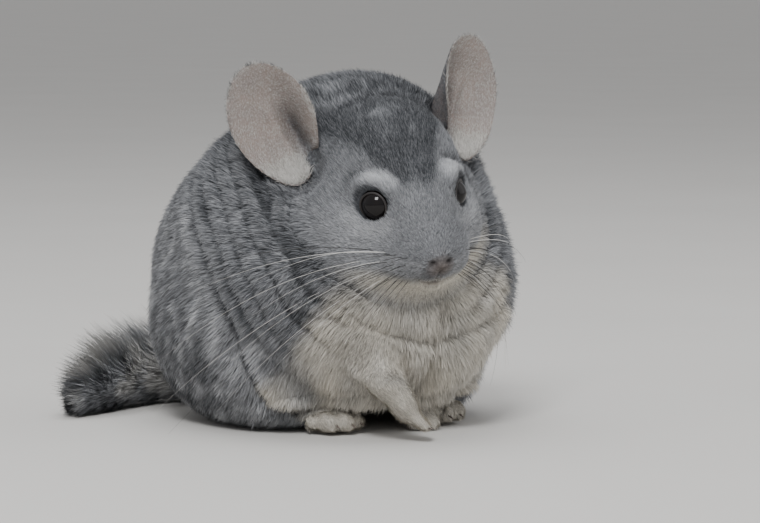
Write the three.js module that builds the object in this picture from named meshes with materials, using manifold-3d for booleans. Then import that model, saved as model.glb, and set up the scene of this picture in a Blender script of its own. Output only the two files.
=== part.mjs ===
// A long-tailed chinchilla, life size, crouched with its tail curled round to its right.
// Millimetres. +Z is up, the animal looks along -Y and its left side is +X.
// The numbers are measured from the floor under the rump. At the end the whole animal is moved so
// that the origin is on the floor, under the middle of its bounding box.
import * as THREE from "three";
import { mergeVertices } from "three/addons/utils/BufferGeometryUtils.js";
import Module from "manifold-3d";

const wasm = await Module();
wasm.setup();

// Driving dimensions
const GAP = 0.3; // between neighbouring pieces
const FACET_SLACK = 1.4; // grown shapes are coarse too, so they are grown a little more
const GRID = 0.002; // every finished point is rounded to this
const FLOOR = 0;
const BACK_TOP = 147; // height of the hunched nape and back
const BODY_WIDTH = 136; // across the rump
const HEAD_WIDTH = 66; // across the cheeks, coat included
const EAR_LENGTH = 56;
const EAR_WIDTH = 39;
const EYE_RADIUS = 7;
const HIND_FOOT_LENGTH = 60;
const TAIL_HAIR = 33; // the longest hairs on the tail's upper side

// The coat's outer surface, as ellipsoids: the middle and the half sizes of each
const RUMP = { at: [0, 0, 62], half: [BODY_WIDTH / 2, 68, 64] };
const LOIN = { at: [0, -30, 84], half: [64, 54, BACK_TOP - 86] };
const NAPE = { at: [0, -42, 104], half: [46, 28, BACK_TOP - 105] };
const CHEST = { at: [0, -56, 58], half: [63, 44, 45] };
const CHEST_LOBE = { at: [17, -72, 38], half: [20, 24, 24] };
const RUFF = { at: [-2, -54, 82], half: [50, 32, 40] };
const HAUNCH = { at: [44, -6, 46], half: [30, 46, 47] };
const KNEE = { at: [42, -36, 27], half: [21, 26, 27] };

// The head's place and pose: it is turned a little to its right, bowed, and tipped to its right
const HEAD_AT = [-6, -71, 106];
const HEAD_YAW = -8;
const HEAD_BOW = 25;
const HEAD_TIP = -7;

// The head's own forms, measured from HEAD_AT with the head level
const CRANIUM = { at: [0, 6, 1], half: [HEAD_WIDTH / 2, 34, 32] };
const BRIDGE = { at: [0, -21, -2], half: [17.5, 25, 20] };
const MUZZLE = { at: [0, -33, -11], half: [17, 18, 15] };
const CHEEK = { at: [19, -13, -14], half: [17, 22, 18] };
const WHISKER_PAD = { at: [8.5, -41.5, -15], half: [9.5, 9, 8.5] };
const NOSE_TIP = { at: [0, -50, -10.5], half: [6, 4.5, 4.5] };
const CHIN = { at: [0, -36, -25], half: [9, 10, 6.5] };
const BROW = { at: [11, -22, 10], half: [7, 9, 6] };

// Small maths
const radians = THREE.MathUtils.degToRad;
const mirrored = (v) => [-v[0], v[1], v[2]];
const vector = (v) => new THREE.Vector3(...v);

let seed = 20240611;
function random() {
  seed = (seed * 1664525 + 1013904223) % 4294967296;
  return seed / 4294967296;
}
const between = (low, high) => low + (high - low) * random();

// Forms: functions of a point that are below zero inside and grow like a distance
function ellipsoid({ at, half }) {
  return (x, y, z) => {
    const a = (x - at[0]) / half[0];
    const b = (y - at[1]) / half[1];
    const c = (z - at[2]) / half[2];
    const reach = Math.hypot(a, b, c);
    const slope = Math.hypot(a / half[0], b / half[1], c / half[2]);
    return slope < 1e-9 ? -Math.min(...half) : (reach * (reach - 1)) / slope;
  };
}

function mirrorPair({ at, half }) {
  const side = ellipsoid({ at, half });
  return (x, y, z) => side(Math.abs(x), y, z);
}

// A soft join: forms melt into each other over about the given width.
function melt(width, ...forms) {
  return (x, y, z) =>
    forms
      .map((form) => form(x, y, z))
      .reduce((a, b) => {
        const near = Math.max(width - Math.abs(a - b), 0) / width;
        return Math.min(a, b) - (near * near * width) / 4;
      });
}

// The point where a ray from inside a form reaches its surface, grown by some margin.
function surfacePoint(form, from, direction, grow = 0) {
  const d = vector(direction).normalize();
  const at = (t) =>
    form(from[0] + d.x * t, from[1] + d.y * t, from[2] + d.z * t) - grow;
  let inside = 0;
  let outside = 0;
  while (at(outside) < 0) {
    inside = outside;
    outside += Math.max(0.4, -at(outside) * 0.7);
  }
  for (let i = 0; i < 18; i++) {
    const middle = (inside + outside) / 2;
    if (at(middle) < 0) inside = middle;
    else outside = middle;
  }
  return [from[0] + d.x * inside, from[1] + d.y * inside, from[2] + d.z * inside];
}

// A ball whose points are pulled out along their rays until they lie on the form.
// Focus is a direction that gets more of the points, and floor flattens what lies below it.
function wrap(form, { from, detail, grow = 0, floor = -Infinity, focus = [0, 0, 0] }) {
  const ball = new THREE.IcosahedronGeometry(1, detail);
  const points = ball.attributes.position;
  for (let i = 0; i < points.count; i++) {
    const direction = [
      points.getX(i) + focus[0],
      points.getY(i) + focus[1],
      points.getZ(i) + focus[2],
    ];
    const [x, y, z] = surfacePoint(form, from, direction, grow);
    points.setXYZ(i, x, y, Math.max(z, floor));
  }
  return solidOf(ball);
}

// Solids and geometries
function solidOf(geometry, weld = 1e-4) {
  const bare = geometry.clone();
  for (const name of Object.keys(bare.attributes)) {
    if (name !== "position") bare.deleteAttribute(name);
  }
  const merged = mergeVertices(bare, weld);
  const triangles = new Uint32Array(merged.index.array);
  const mesh = new wasm.Mesh({
    numProp: 3,
    vertProperties: new Float32Array(merged.attributes.position.array),
    triVerts: triangles,
  });
  return new wasm.Manifold(mesh);
}

function geometryOf(solid) {
  const mesh = solid.getMesh();
  return new THREE.BufferGeometry()
    .setAttribute("position", new THREE.BufferAttribute(mesh.vertProperties, 3))
    .setIndex(new THREE.BufferAttribute(mesh.triVerts, 1));
}

// The largest closed surface of a solid, which drops loose scraps and fills sealed hollows.
function whole(solid) {
  return solid.decompose().reduce((a, b) => (b.volume() > a.volume() ? b : a));
}

const join = (...solids) => solids.reduce((a, b) => a.add(b));
// Rounding a solid's points may close off small hollows, so it is repeated until none is left.
function settled(solid) {
  const geometry = geometryOf(whole(solid));
  const spots = geometry.attributes.position.array;
  spots.forEach((value, i) => {
    spots[i] = Math.round(value / GRID) * GRID;
  });
  const rounded = solidOf(geometry, GRID / 2);
  return rounded.decompose().length > 1 ? settled(rounded) : rounded;
}

const cut = (solid, ...tools) => settled(tools.reduce((a, b) => a.subtract(b), solid));

function moved(geometry, matrix) {
  return geometry.clone().applyMatrix4(matrix);
}

// A smooth limb: beads of the given radii strung along points, flattened by squash.
function limb(points, radii, { steps = 4, sides = 9, squash = 1 } = {}) {
  const line = new THREE.CatmullRomCurve3(points.map(vector));
  const profile = new THREE.SphereGeometry(1, sides, steps * 2);
  const spots = profile.attributes.position;
  const up = new THREE.Vector3(0, 0, 1);
  for (let i = 0; i < spots.count; i++) {
    const along = (1 - spots.getY(i)) / 2;
    const place = along * (points.length - 1);
    const index = Math.min(Math.floor(place), points.length - 2);
    const radius = THREE.MathUtils.lerp(radii[index], radii[index + 1], place - index);
    const centre = line.getPoint(along);
    const heading = line.getTangent(along);
    const side = new THREE.Vector3().crossVectors(heading, up).normalize();
    const rise = new THREE.Vector3().crossVectors(side, heading);
    const fullness = Math.sqrt(Math.hypot(spots.getX(i), spots.getZ(i)));
    const angle = Math.atan2(-spots.getZ(i), spots.getX(i));
    centre.addScaledVector(side, Math.cos(angle) * radius * fullness);
    centre.addScaledVector(rise, Math.sin(angle) * radius * fullness * squash);
    spots.setXYZ(i, centre.x, centre.y, Math.max(centre.z, FLOOR));
  }
  return solidOf(profile);
}

// The trunk, the ruff of folds round the neck, and the haunches
const trunkForm = melt(
  26,
  ellipsoid(RUMP),
  ellipsoid(LOIN),
  ellipsoid(NAPE),
  melt(10, ellipsoid(CHEST), mirrorPair(CHEST_LOBE)),
);
const trunk = (grow) =>
  wrap(trunkForm, { from: [0, -22, 72], detail: 8, grow, floor: grow ? -1 : FLOOR });

const ruffForm = ellipsoid(RUFF);
const ruff = (grow) => wrap(ruffForm, { from: RUFF.at, detail: 5, grow });

const haunchForm = melt(20, ellipsoid(HAUNCH), ellipsoid(KNEE));
function haunch(side, grow) {
  const form = (x, y, z) => haunchForm(x * side, y, z);
  const from = [HAUNCH.at[0] * side, -18, 40];
  return wrap(form, { from, detail: 5, grow, floor: grow ? -1 : FLOOR });
}

// The head, in its own level frame
const headForm = melt(
  9,
  ellipsoid(CRANIUM),
  ellipsoid(BRIDGE),
  ellipsoid(MUZZLE),
  mirrorPair(CHEEK),
  mirrorPair(WHISKER_PAD),
  ellipsoid(CHIN),
  mirrorPair(BROW),
  ellipsoid(NOSE_TIP),
);
const HEAD_CORE = [0, -14, -3]; // the rays that shape the head start here
const headWrap = { from: HEAD_CORE, detail: 8, focus: [0, -0.5, -0.1] };
const headPose = new THREE.Matrix4().compose(
  vector(HEAD_AT),
  new THREE.Quaternion().setFromEuler(
    new THREE.Euler(radians(HEAD_BOW), radians(HEAD_TIP), radians(HEAD_YAW), "ZXY"),
  ),
  new THREE.Vector3(1, 1, 1),
);
const posed = (solid) => solid.transform(headPose.elements);

// Eyes sit on the surface at these directions from the head's core, sunk so that a cap shows
const EYE_DIRECTION = [19, -12.5, 7.2];
const EYE_SINK = 5;
const EYE_OPENING = 5.4;
const LID_RADIUS = 1.2;

function eyeSpot(side) {
  const direction = [EYE_DIRECTION[0] * side, EYE_DIRECTION[1], EYE_DIRECTION[2]];
  const spot = vector(surfacePoint(headForm, HEAD_CORE, direction));
  const axis = new THREE.Vector3(0.8 * side, -0.6, 0.1).normalize();
  return { centre: spot.clone().addScaledVector(axis, -EYE_SINK), axis };
}

function turnedTo(axis, centre) {
  const turn = new THREE.Quaternion().setFromUnitVectors(
    new THREE.Vector3(0, 0, 1),
    axis,
  );
  return new THREE.Matrix4().compose(centre, turn, new THREE.Vector3(1, 1, 1));
}

function eyeball(side, grow) {
  const { centre, axis } = eyeSpot(side);
  const ball = new THREE.SphereGeometry(EYE_RADIUS + grow, 16, 10).rotateX(Math.PI / 2);
  return posed(solidOf(moved(ball, turnedTo(axis, centre))));
}

function lids(side, grow = 0) {
  const { centre, axis } = eyeSpot(side);
  const rise = Math.sqrt(EYE_RADIUS ** 2 - EYE_OPENING ** 2);
  const ring = new THREE.TorusGeometry(EYE_OPENING + 0.5, LID_RADIUS + grow, 8, 20);
  ring.translate(0, 0, rise - 0.3);
  return solidOf(moved(ring, turnedTo(axis, centre)));
}

// Tubes laid half sunk along the head's surface, for the mouth's line and the philtrum
function surfaceTube(directions, radius) {
  const points = directions.map((d) => vector(surfacePoint(headForm, HEAD_CORE, d)));
  const path = new THREE.CatmullRomCurve3(points);
  const section = new THREE.Shape().absarc(0, 0, radius, 0, Math.PI * 2);
  const tube = new THREE.ExtrudeGeometry(section, {
    steps: 10,
    curveSegments: 3,
    bevelEnabled: false,
    extrudePath: path,
  });
  return solidOf(tube);
}

const mouthLine = surfaceTube(
  [
    [-11, -26, -22],
    [-6, -31, -20],
    [0, -35, -17.5],
    [6, -31, -20],
    [11, -26, -22],
  ],
  0.9,
);
const philtrum = surfaceTube(
  [
    [0, -36, -11],
    [0, -36, -14],
    [0, -35, -17.5],
  ],
  0.7,
);

function nostril(side) {
  const [x, y, z] = surfacePoint(headForm, HEAD_CORE, [2.9 * side, -37, -7.6]);
  const pit = new THREE.SphereGeometry(1, 10, 6);
  pit.scale(1.9, 1.3, 0.9);
  pit.rotateY(radians(28 * side));
  pit.translate(x, y, z);
  return solidOf(pit);
}

function head(grow) {
  const lidded = join(
    wrap(headForm, { ...headWrap, grow }),
    lids(1, grow),
    lids(-1, grow),
  );
  if (grow) return posed(lidded);
  return posed(cut(lidded, mouthLine, philtrum, nostril(1), nostril(-1)));
}

// An ear: a thin cupped leaf whose rim is the equator of a ball
const EAR_ROOT = [37.5, 4, 0]; // in the head's level frame, sunk inside the coat
const EAR_LEAN = [0.26, 0.58, 0.78]; // from root to tip
const EAR_FACING = [0.42, -0.66, 0.6]; // the way that the cup opens
const EAR_CUP = 10;
const EAR_CLEARING = 26; // how far the coat is kept clear in front of the ear's lower half
const EAR_THICK = 0.75; // half of the leaf's thickness

function earLeaf(u, v) {
  const inward = -u; // the edge nearer the middle of the head
  const wide = (EAR_WIDTH / 2) * (0.94 + 0.13 * v - 0.16 * v * v);
  const reach = u * u + v * v;
  const bowl = -EAR_CUP * (1 - reach) * (1 - 0.35 * v);
  const hollow = -4 * Math.exp(-(((inward - 0.35) / 0.22) ** 2)) * (1 - v) * (1 - reach);
  const curl = 5 * Math.max(0, inward - 0.35) ** 2 * (1 - 0.4 * v);
  return new THREE.Vector3(u * wide, (v * EAR_LENGTH) / 2, bowl + hollow + curl);
}

function ear(side, grow) {
  const leaf = new THREE.SphereGeometry(1, 24, 12);
  const spots = leaf.attributes.position;
  const step = 1e-3;
  const wider = 1 + (6 * grow) / EAR_WIDTH;
  for (let i = 0; i < spots.count; i++) {
    const u = spots.getX(i) * wider;
    const v = spots.getZ(i) * wider;
    const place = earLeaf(u, v);
    const across = earLeaf(u + step, v).sub(place);
    const along = earLeaf(u, v + step).sub(place);
    const normal = across.cross(along).normalize();
    const mouth = EAR_CUP + EAR_CLEARING * Math.max(0, -v);
    const filled = grow > 0 && spots.getY(i) < 0 ? mouth * (1 - u * u - v * v) : 0;
    place.addScaledVector(normal, -spots.getY(i) * (EAR_THICK + 2 * grow));
    place.z += Math.max(0, filled);
    spots.setXYZ(i, place.x, place.y + EAR_LENGTH / 2, place.z);
  }
  const lean = vector(EAR_LEAN).normalize();
  const facing = vector(EAR_FACING);
  facing.addScaledVector(lean, -facing.dot(lean)).normalize();
  const across = new THREE.Vector3().crossVectors(lean, facing);
  const place = new THREE.Matrix4().makeBasis(across, lean, facing);
  place.setPosition(vector(EAR_ROOT));
  leaf.applyMatrix4(place);
  if (side < 0) {
    leaf.scale(-1, 1, 1);
    leaf.index.array.reverse(); // mirrored triangles would face inwards
  }
  return posed(solidOf(leaf));
}

// Feet and legs
const HIND_HEEL = [40, -14, 7];
const HIND_TOES = [26, -14 - HIND_FOOT_LENGTH * 0.8, 6];
const HIND_DIGITS = [
  { aside: -7, length: 12, radius: 4.2 },
  { aside: 0, length: 15, radius: 4.5 },
  { aside: 7.5, length: 13, radius: 4.3 },
  { aside: 13, length: 3, radius: 3.2 },
];

function hindFoot(side) {
  const flip = side < 0 ? mirrored : (v) => v;
  const sole = limb([HIND_HEEL, [35, -36, 7.5], HIND_TOES].map(flip), [6, 8, 7.5]);
  const toes = HIND_DIGITS.map(({ aside, length, radius }) => {
    const start = [HIND_TOES[0] + aside * 0.8, HIND_TOES[1] + 5, 5];
    const middle = [start[0] + aside * 0.08, start[1] - length * 0.6, 5.4];
    const end = [start[0] + aside * 0.1 - 1, start[1] - length, radius - 0.4];
    const radii = [radius, radius, radius * 0.8];
    return limb([start, middle, end].map(flip), radii, { steps: 3, sides: 7 });
  });
  return join(sole, ...toes);
}

const ARM_RIGHT = {
  elbow: [-28, -90, 33],
  wrist: [-18.5, -97, 17.5],
  knuckles: [-14.5, -99, 10],
};
const ARM_LEFT = {
  elbow: [24, -62, 28],
  wrist: [14, -66, 10],
  knuckles: [11, -71, 5.5],
};

function foreLeg({ elbow, wrist }) {
  const half = elbow.map((v, i) => (v + wrist[i]) / 2);
  return limb([elbow, half, wrist], [9, 8, 6.6]);
}

function forePaw({ elbow, wrist, knuckles }, droop) {
  const insideLeg = elbow.map((v, i) => (v + 2 * wrist[i]) / 3);
  const pastKnuckles = knuckles.map((v, i) => v + 0.15 * (v - wrist[i]));
  const palm = limb([insideLeg, wrist, pastKnuckles], [6.6, 6.8, 6.4], { squash: 0.85 });
  const heading = vector(knuckles).sub(vector(wrist)).setZ(0).normalize();
  const side = new THREE.Vector3(-heading.y, heading.x, 0);
  const fingers = [-1.5, -0.5, 0.5, 1.5].map((place) => {
    const root = vector(knuckles).addScaledVector(side, place * 2.9);
    const tip = root.clone().addScaledVector(heading, 5.5 - Math.abs(place));
    tip.z -= droop;
    const middle = root.clone().lerp(tip, 0.6);
    middle.z += 0.8;
    const line = [root, middle, tip].map((v) => v.toArray());
    return limb(line, [2.6, 2.4, 1.8], { steps: 2, sides: 6 });
  });
  return join(palm, ...fingers);
}

// The tail: a tapering core and, on it, long coarse hairs in flat locks that fan up and back
const TAIL_LINE = [
  [2, 34, 12],
  [-10, 60, 11],
  [-34, 68, 10.5],
  [-60, 61, 10.5],
  [-82, 50, 11],
];
const TAIL_RADII = [9, 10, 10, 9, 5];
const LOCK_WIDTH = 8;
const LOCK_CLEAR = LOCK_WIDTH / 2 + 0.2; // a lock's middle line stays this high
const LOCK_ROWS = 9; // along the tail
const LOCK_ANGLES = [-84, -50, -17, 17, 50, 84]; // round it, from the top

function lock(root, start, bend, across, length, width) {
  const blade = new THREE.ConeGeometry(1, 1, 4, 3);
  const spots = blade.attributes.position;
  const flat = new THREE.Vector3().crossVectors(across, start).normalize();
  for (let i = 0; i < spots.count; i++) {
    const t = spots.getY(i) + 0.5;
    const taper = t > 0.999 ? 0 : 0.6 + 0.4 * Math.sin(Math.PI * Math.min(1, t + 0.15));
    const spread = Math.hypot(spots.getX(i), spots.getZ(i)) < 1e-6 ? 0 : taper;
    const angle = Math.atan2(spots.getZ(i), spots.getX(i));
    const place = root.clone().addScaledVector(start, length * (t - 0.4 * t * t));
    place.addScaledVector(bend, length * 0.5 * t * t);
    place.z = Math.max(place.z, FLOOR + LOCK_CLEAR);
    place.addScaledVector(across, Math.cos(angle) * spread * width * 0.5);
    place.addScaledVector(flat, Math.sin(angle) * spread * width * 0.2);
    spots.setXYZ(i, place.x, place.y, place.z);
  }
  return solidOf(blade);
}

function tail() {
  const line = new THREE.CatmullRomCurve3(TAIL_LINE.map(vector));
  const up = new THREE.Vector3(0, 0, 1);
  const parts = [limb(TAIL_LINE, TAIL_RADII, { steps: 9, sides: 12 })];
  for (let row = 0; row < LOCK_ROWS; row++) {
    for (const [i, base] of LOCK_ANGLES.entries()) {
      const staggered = row + 0.6 * (i % 2) + between(0.6, 1.1);
      const at = Math.min(staggered / (LOCK_ROWS + 1.2), 1);
      const angle = radians(base + between(-6, 6));
      const heading = line.getTangent(at);
      const side = new THREE.Vector3().crossVectors(heading, up).normalize();
      const out = up.clone().multiplyScalar(Math.cos(angle));
      out.addScaledVector(side, Math.sin(angle));
      const fullness = Math.sin(Math.PI * Math.min(1, 0.22 + 0.62 * at));
      const upper = Math.max(0, Math.cos(angle));
      const length = TAIL_HAIR * (0.5 + 0.5 * fullness * upper) * between(0.9, 1.1);
      const root = line.getPoint(at).addScaledVector(out, 3);
      const rise = 0.35 + 0.75 * upper * fullness;
      const start = heading.clone().addScaledVector(out, rise).normalize();
      const across = new THREE.Vector3().crossVectors(out, heading).normalize();
      parts.push(lock(root, start, heading, across, length + 6, LOCK_WIDTH));
    }
  }
  return join(...parts);
}

// Assembly
const coat = new THREE.MeshStandardMaterial({ color: 0x6f7378, roughness: 0.95 });
const paleCoat = new THREE.MeshStandardMaterial({ color: 0xb8b2a6, roughness: 0.95 });
const earSkin = new THREE.MeshStandardMaterial({ color: 0xa79d97, roughness: 0.8 });
const eyeBlack = new THREE.MeshStandardMaterial({ color: 0x0b0b0e, roughness: 0.05 });

const animal = new THREE.Group();
const headGroup = new THREE.Group();
headGroup.applyMatrix4(headPose);
animal.add(headGroup);
animal.updateMatrixWorld(true);

function addTo(group, name, solid, material) {
  const geometry = geometryOf(solid);
  geometry.applyMatrix4(group.matrixWorld.clone().invert());
  geometry.computeVertexNormals();
  const mesh = new THREE.Mesh(geometry, material);
  mesh.name = name;
  group.add(mesh);
}

// Each piece is cut by the grown shape of every piece before it in the list.
const pieces = [
  ["eye_left", headGroup, eyeBlack, (grow) => eyeball(1, grow)],
  ["eye_right", headGroup, eyeBlack, (grow) => eyeball(-1, grow)],
  ["head", headGroup, coat, head],
  ["ear_left", headGroup, earSkin, (grow) => ear(1, grow)],
  ["ear_right", headGroup, earSkin, (grow) => ear(-1, grow)],
  ["haunch_left", animal, coat, (grow) => haunch(1, grow)],
  ["haunch_right", animal, coat, (grow) => haunch(-1, grow)],
  ["neck", animal, coat, ruff],
  ["torso", animal, coat, trunk],
  ["hind_foot_left", animal, paleCoat, () => hindFoot(1)],
  ["hind_foot_right", animal, paleCoat, () => hindFoot(-1)],
  ["forepaw_left", animal, paleCoat, () => join(foreLeg(ARM_LEFT), forePaw(ARM_LEFT, 3))],
  ["forepaw_right", animal, paleCoat, () => join(foreLeg(ARM_RIGHT), forePaw(ARM_RIGHT, 3))],
  ["tail", animal, coat, tail],
];
const spaces = [];
for (const [name, group, material, make] of pieces) {
  addTo(group, name, cut(make(0), ...spaces), material);
  spaces.push(make(GAP * FACET_SLACK));
}

// The origin goes on the floor, under the middle of the whole animal.
const middle = new THREE.Box3().setFromObject(animal, true).getCenter(new THREE.Vector3());
animal.position.set(-Math.round(middle.x * 10) / 10, -Math.round(middle.y * 10) / 10, 0);

export default animal;
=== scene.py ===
"""A long-tailed chinchilla, crouched and round, in its dense soft coat.

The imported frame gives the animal's place, its flesh, its ears and its eyes. Lengths inside
the functions are millimetres, in the animal's own frame: it looks along -Y, its left side is
+X and the floor is Z = 0.
"""
import itertools
import math

import bmesh
import bpy
import numpy as np
from mathutils import Matrix, Vector


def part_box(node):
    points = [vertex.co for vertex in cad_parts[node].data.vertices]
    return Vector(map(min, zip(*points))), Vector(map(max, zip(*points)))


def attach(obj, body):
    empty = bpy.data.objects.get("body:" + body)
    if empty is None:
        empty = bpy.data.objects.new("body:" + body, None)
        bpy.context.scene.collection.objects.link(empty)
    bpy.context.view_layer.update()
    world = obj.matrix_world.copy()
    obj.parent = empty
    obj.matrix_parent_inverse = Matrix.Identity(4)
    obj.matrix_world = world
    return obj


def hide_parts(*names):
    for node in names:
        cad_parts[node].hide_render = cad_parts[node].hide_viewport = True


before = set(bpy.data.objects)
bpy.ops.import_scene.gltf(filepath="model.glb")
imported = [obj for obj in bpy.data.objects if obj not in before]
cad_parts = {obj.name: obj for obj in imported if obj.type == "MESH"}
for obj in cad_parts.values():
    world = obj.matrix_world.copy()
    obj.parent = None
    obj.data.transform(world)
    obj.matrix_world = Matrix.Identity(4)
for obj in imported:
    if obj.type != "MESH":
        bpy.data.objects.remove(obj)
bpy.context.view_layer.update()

MM = 0.001
rng = np.random.default_rng(77)
VOXEL = 1.15

# Tufts in each piece of the coat: the body has six pieces, and each ear has one
TUFT_SHARE = 1.0
TUFTS = {"head_back": 38000, "face": 58000, "feet": 18000, "body": 47000, "tail": 46000,
         "ear": 20000}
BODY_PIECES = 6

# The animal's frame: the haunches are a pair, so their middle gives its place
FLESH = ["torso", "neck", "head", "haunch_left", "haunch_right",
         "hind_foot_left", "hind_foot_right", "forepaw_left", "forepaw_right"]
ORIGIN_BEHIND_HAUNCHES = 11.0
haunch_corners = np.array([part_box("haunch_left"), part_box("haunch_right")]).reshape(-1, 3) / MM
HAUNCH_MIDDLE = (haunch_corners.min(0) + haunch_corners.max(0)) / 2
SHIFT = np.array([HAUNCH_MIDDLE[0], HAUNCH_MIDDLE[1] + ORIGIN_BEHIND_HAUNCHES, 0.0])

# The head's frame, and the egg of its flesh in that frame
HEAD_AT = np.array([-6.0, -71.0, 106.0])
HEAD_YAW, HEAD_BOW, HEAD_TIP = (math.radians(a) for a in (-8, 25, -7))
HEAD_TURN = np.array(
    Matrix.Rotation(HEAD_YAW, 3, "Z") @ Matrix.Rotation(HEAD_BOW, 3, "X")
    @ Matrix.Rotation(HEAD_TIP, 3, "Y"))
HEAD_MIDDLE, HEAD_HALF = (0, -10, -2), (34, 44, 33)
NOSE = np.array([0.0, -53.0, -11.0])
EYE_RADIUS = 7.0

# The lines inside the tail and the forelegs, and the ears' sizes and ways in the head's frame
TAIL_LINE = [(2, 34, 12), (-10, 60, 11), (-34, 68, 10.5), (-60, 61, 10.5), (-82, 50, 10)]
TAIL_RADII = [8, 8.5, 8.5, 7.5, 3.5]
ARM_RIGHT = [(-28, -90, 33), (-18.5, -97, 17.5), (-14.5, -99, 10)]
ARM_LEFT = [(24, -62, 28), (14, -66, 10), (11, -71, 5.5)]
EAR_LENGTH, EAR_WIDTH, EAR_CUP = 56.0, 39.0, 10.0
EAR_ROOT, EAR_LEAN, EAR_FACING = (37.5, 4.0, 0.0), (0.26, 0.58, 0.78), (0.42, -0.66, 0.6)

# The coat's depth on the body, and on feet and tail, and the length of its tufts
BODY_DEPTH, THIN_DEPTH = 3.6, 0.2
BODY_HAIR, FOOT_HAIR, TAIL_HAIR = 5.8, 2.3, 20.0
SHOULDER_FOLD_PITCH, NECK_FOLD_PITCH = 12.5, 7.6


def eye_middle(name):
    """The middle of an eye's solid, in the animal's frame."""
    low, high = (np.array(corner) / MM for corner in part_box(name))
    return (low + high) / 2 - SHIFT


EYES = {"left": eye_middle("eye_left"), "right": eye_middle("eye_right")}


def in_head(points):
    """Points of the animal's frame in the level head's own frame."""
    return (points - HEAD_AT) @ HEAD_TURN


def from_head(points):
    """Points of the head's frame in the animal's frame."""
    return np.asarray(points, float) @ HEAD_TURN.T + HEAD_AT


def place(points):
    """Millimetres in the animal's frame to metres in the model's frame."""
    return (np.asarray(points, float) + SHIFT) * MM


def ear_frame(side):
    """An ear's root, and its ways across, along and out of the cup, in the head's frame."""
    flip = np.array([side, 1.0, 1.0])
    lean = np.array(EAR_LEAN)
    lean /= np.linalg.norm(lean)
    facing = np.array(EAR_FACING)
    facing -= lean * (facing @ lean)
    facing /= np.linalg.norm(facing)
    return EAR_ROOT * flip, np.cross(lean, facing) * flip, lean * flip, facing * flip


def ear_place(h, side):
    """Where points are on an ear: across (outer edge 1), along (tip 1), and out of its cup."""
    root, across, lean, facing = ear_frame(side)
    local = h - root
    return local @ across / (EAR_WIDTH / 2), local @ lean / (EAR_LENGTH / 2) - 1, local @ facing


def above_ear(h, side):
    """How far points stand out of an ear's leaf, and how far out in its outline they are."""
    u, v, w = ear_place(h, side)
    outline = np.hypot(u, v)
    bowl = -EAR_CUP * np.clip(1 - outline ** 2, 0, 1) * (1 - 0.35 * v)
    return w - bowl, outline


# Simple forms
def step(low, high, value):
    """A soft edge: 0 at low, 1 at high."""
    t = np.clip((value - low) / (high - low), 0, 1)
    return t * t * (3 - 2 * t)


def bell(value, width):
    """A soft bump: 1 where the value is 0."""
    return np.exp(-(value / width) ** 2)


def reach(points, middle, half):
    """How far out a point is in an ellipsoid: 1 is its surface."""
    return lengths((points - np.array(middle)) / np.array(half))


def line_distance(points, line):
    """Distance to a line of straight stretches, and the stretch's direction."""
    best = np.full(len(points), 1e9)
    heading = np.zeros((len(points), 3))
    for a, b in zip(line[:-1], line[1:]):
        a, b = np.array(a, float), np.array(b, float)
        run = b - a
        t = np.clip((points - a) @ run / (run @ run), 0, 1)
        gap = lengths(points - a - t[:, None] * run)
        nearer = gap < best
        best = np.where(nearer, gap, best)
        heading[nearer] = run / np.linalg.norm(run)
    return best, heading


def lengths(vectors):
    return np.linalg.norm(vectors, axis=1)


def unit(vectors):
    """Rows of vectors, each made one long."""
    return vectors / (np.linalg.norm(vectors, axis=1, keepdims=True) + 1e-9)


def ripple(points, wave, seed):
    """A smooth random field between about -1 and 1, made of a few crossing waves."""
    source = np.random.default_rng(seed)
    total = np.zeros(len(points))
    waves, highest = 6, 3.5
    for _ in range(waves):
        direction = source.normal(size=3)
        direction *= 2 * math.pi / (wave * np.linalg.norm(direction))
        total += np.sin(points @ direction + source.uniform(0, 6.28))
    return total / highest


def regions(p):
    """Regions of the body, each a soft mask from 0 to 1, and the points in the head's frame."""
    x, y, z = p.T
    h = in_head(p)
    hx, hy, hz = h.T
    head = step(1.3, 1.06, reach(h, HEAD_MIDDLE, HEAD_HALF))
    head *= step(26, 12, hy)
    face = head * step(4, -26, hy)
    muzzle = head * step(-30, -44, hy)
    tail_gap, _ = line_distance(p, TAIL_LINE[1:])
    tail = step(17, 12, tail_gap) * step(44, 54, y + 0.1 * np.abs(x))
    right_gap, _ = line_distance(p, ARM_RIGHT)
    left_gap, _ = line_distance(p, ARM_LEFT)
    paw = np.maximum(step(11.5, 9, right_gap), step(11.5, 9, left_gap)) * step(34, 22, z)
    toes = step(17, 13, z) * step(-54, -59, y) * step(9, 13, np.abs(x))
    feet = np.maximum(paw, toes * (1 - paw))
    return {"h": h, "head": head, "face": face, "muzzle": muzzle, "tail": tail,
            "feet": feet * (1 - head)}


def coat_depth(r):
    """How deep the skin lies under the tips of the hair."""
    depth = BODY_DEPTH - 1.4 * r["head"] - 0.9 * r["face"] - 0.5 * r["muzzle"]
    depth = depth * (1 - r["feet"]) + THIN_DEPTH * r["feet"]
    return depth * (1 - r["tail"]) + THIN_DEPTH * r["tail"]


def coat_length(p, r):
    """How long the tufts are: longest on the chest, short by the ears and on face and feet."""
    x, y, z = p.T
    fringe = step(70, 30, z) * step(-40, -75, y)
    length = BODY_HAIR + 1.6 * fringe - 1.4 * r["head"] - 1.6 * r["face"] - 1.0 * r["muzzle"]
    arm, _ = line_distance(p, ARM_RIGHT)
    length = length * (1 - 0.5 * step(19, 11, arm))
    length = length * (1 - 0.3 * step(14, 6, z) * step(-40, -60, y))
    for side in (1, -1):
        above, outline = above_ear(r["h"], side)
        length = length * (1 - 0.55 * step(1.5, 1.1, outline) * step(-3, 3, above))
    length = length * (1 - r["feet"]) + FOOT_HAIR * r["feet"]
    return length * (1 - r["tail"]) + TAIL_HAIR * r["tail"]


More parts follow.
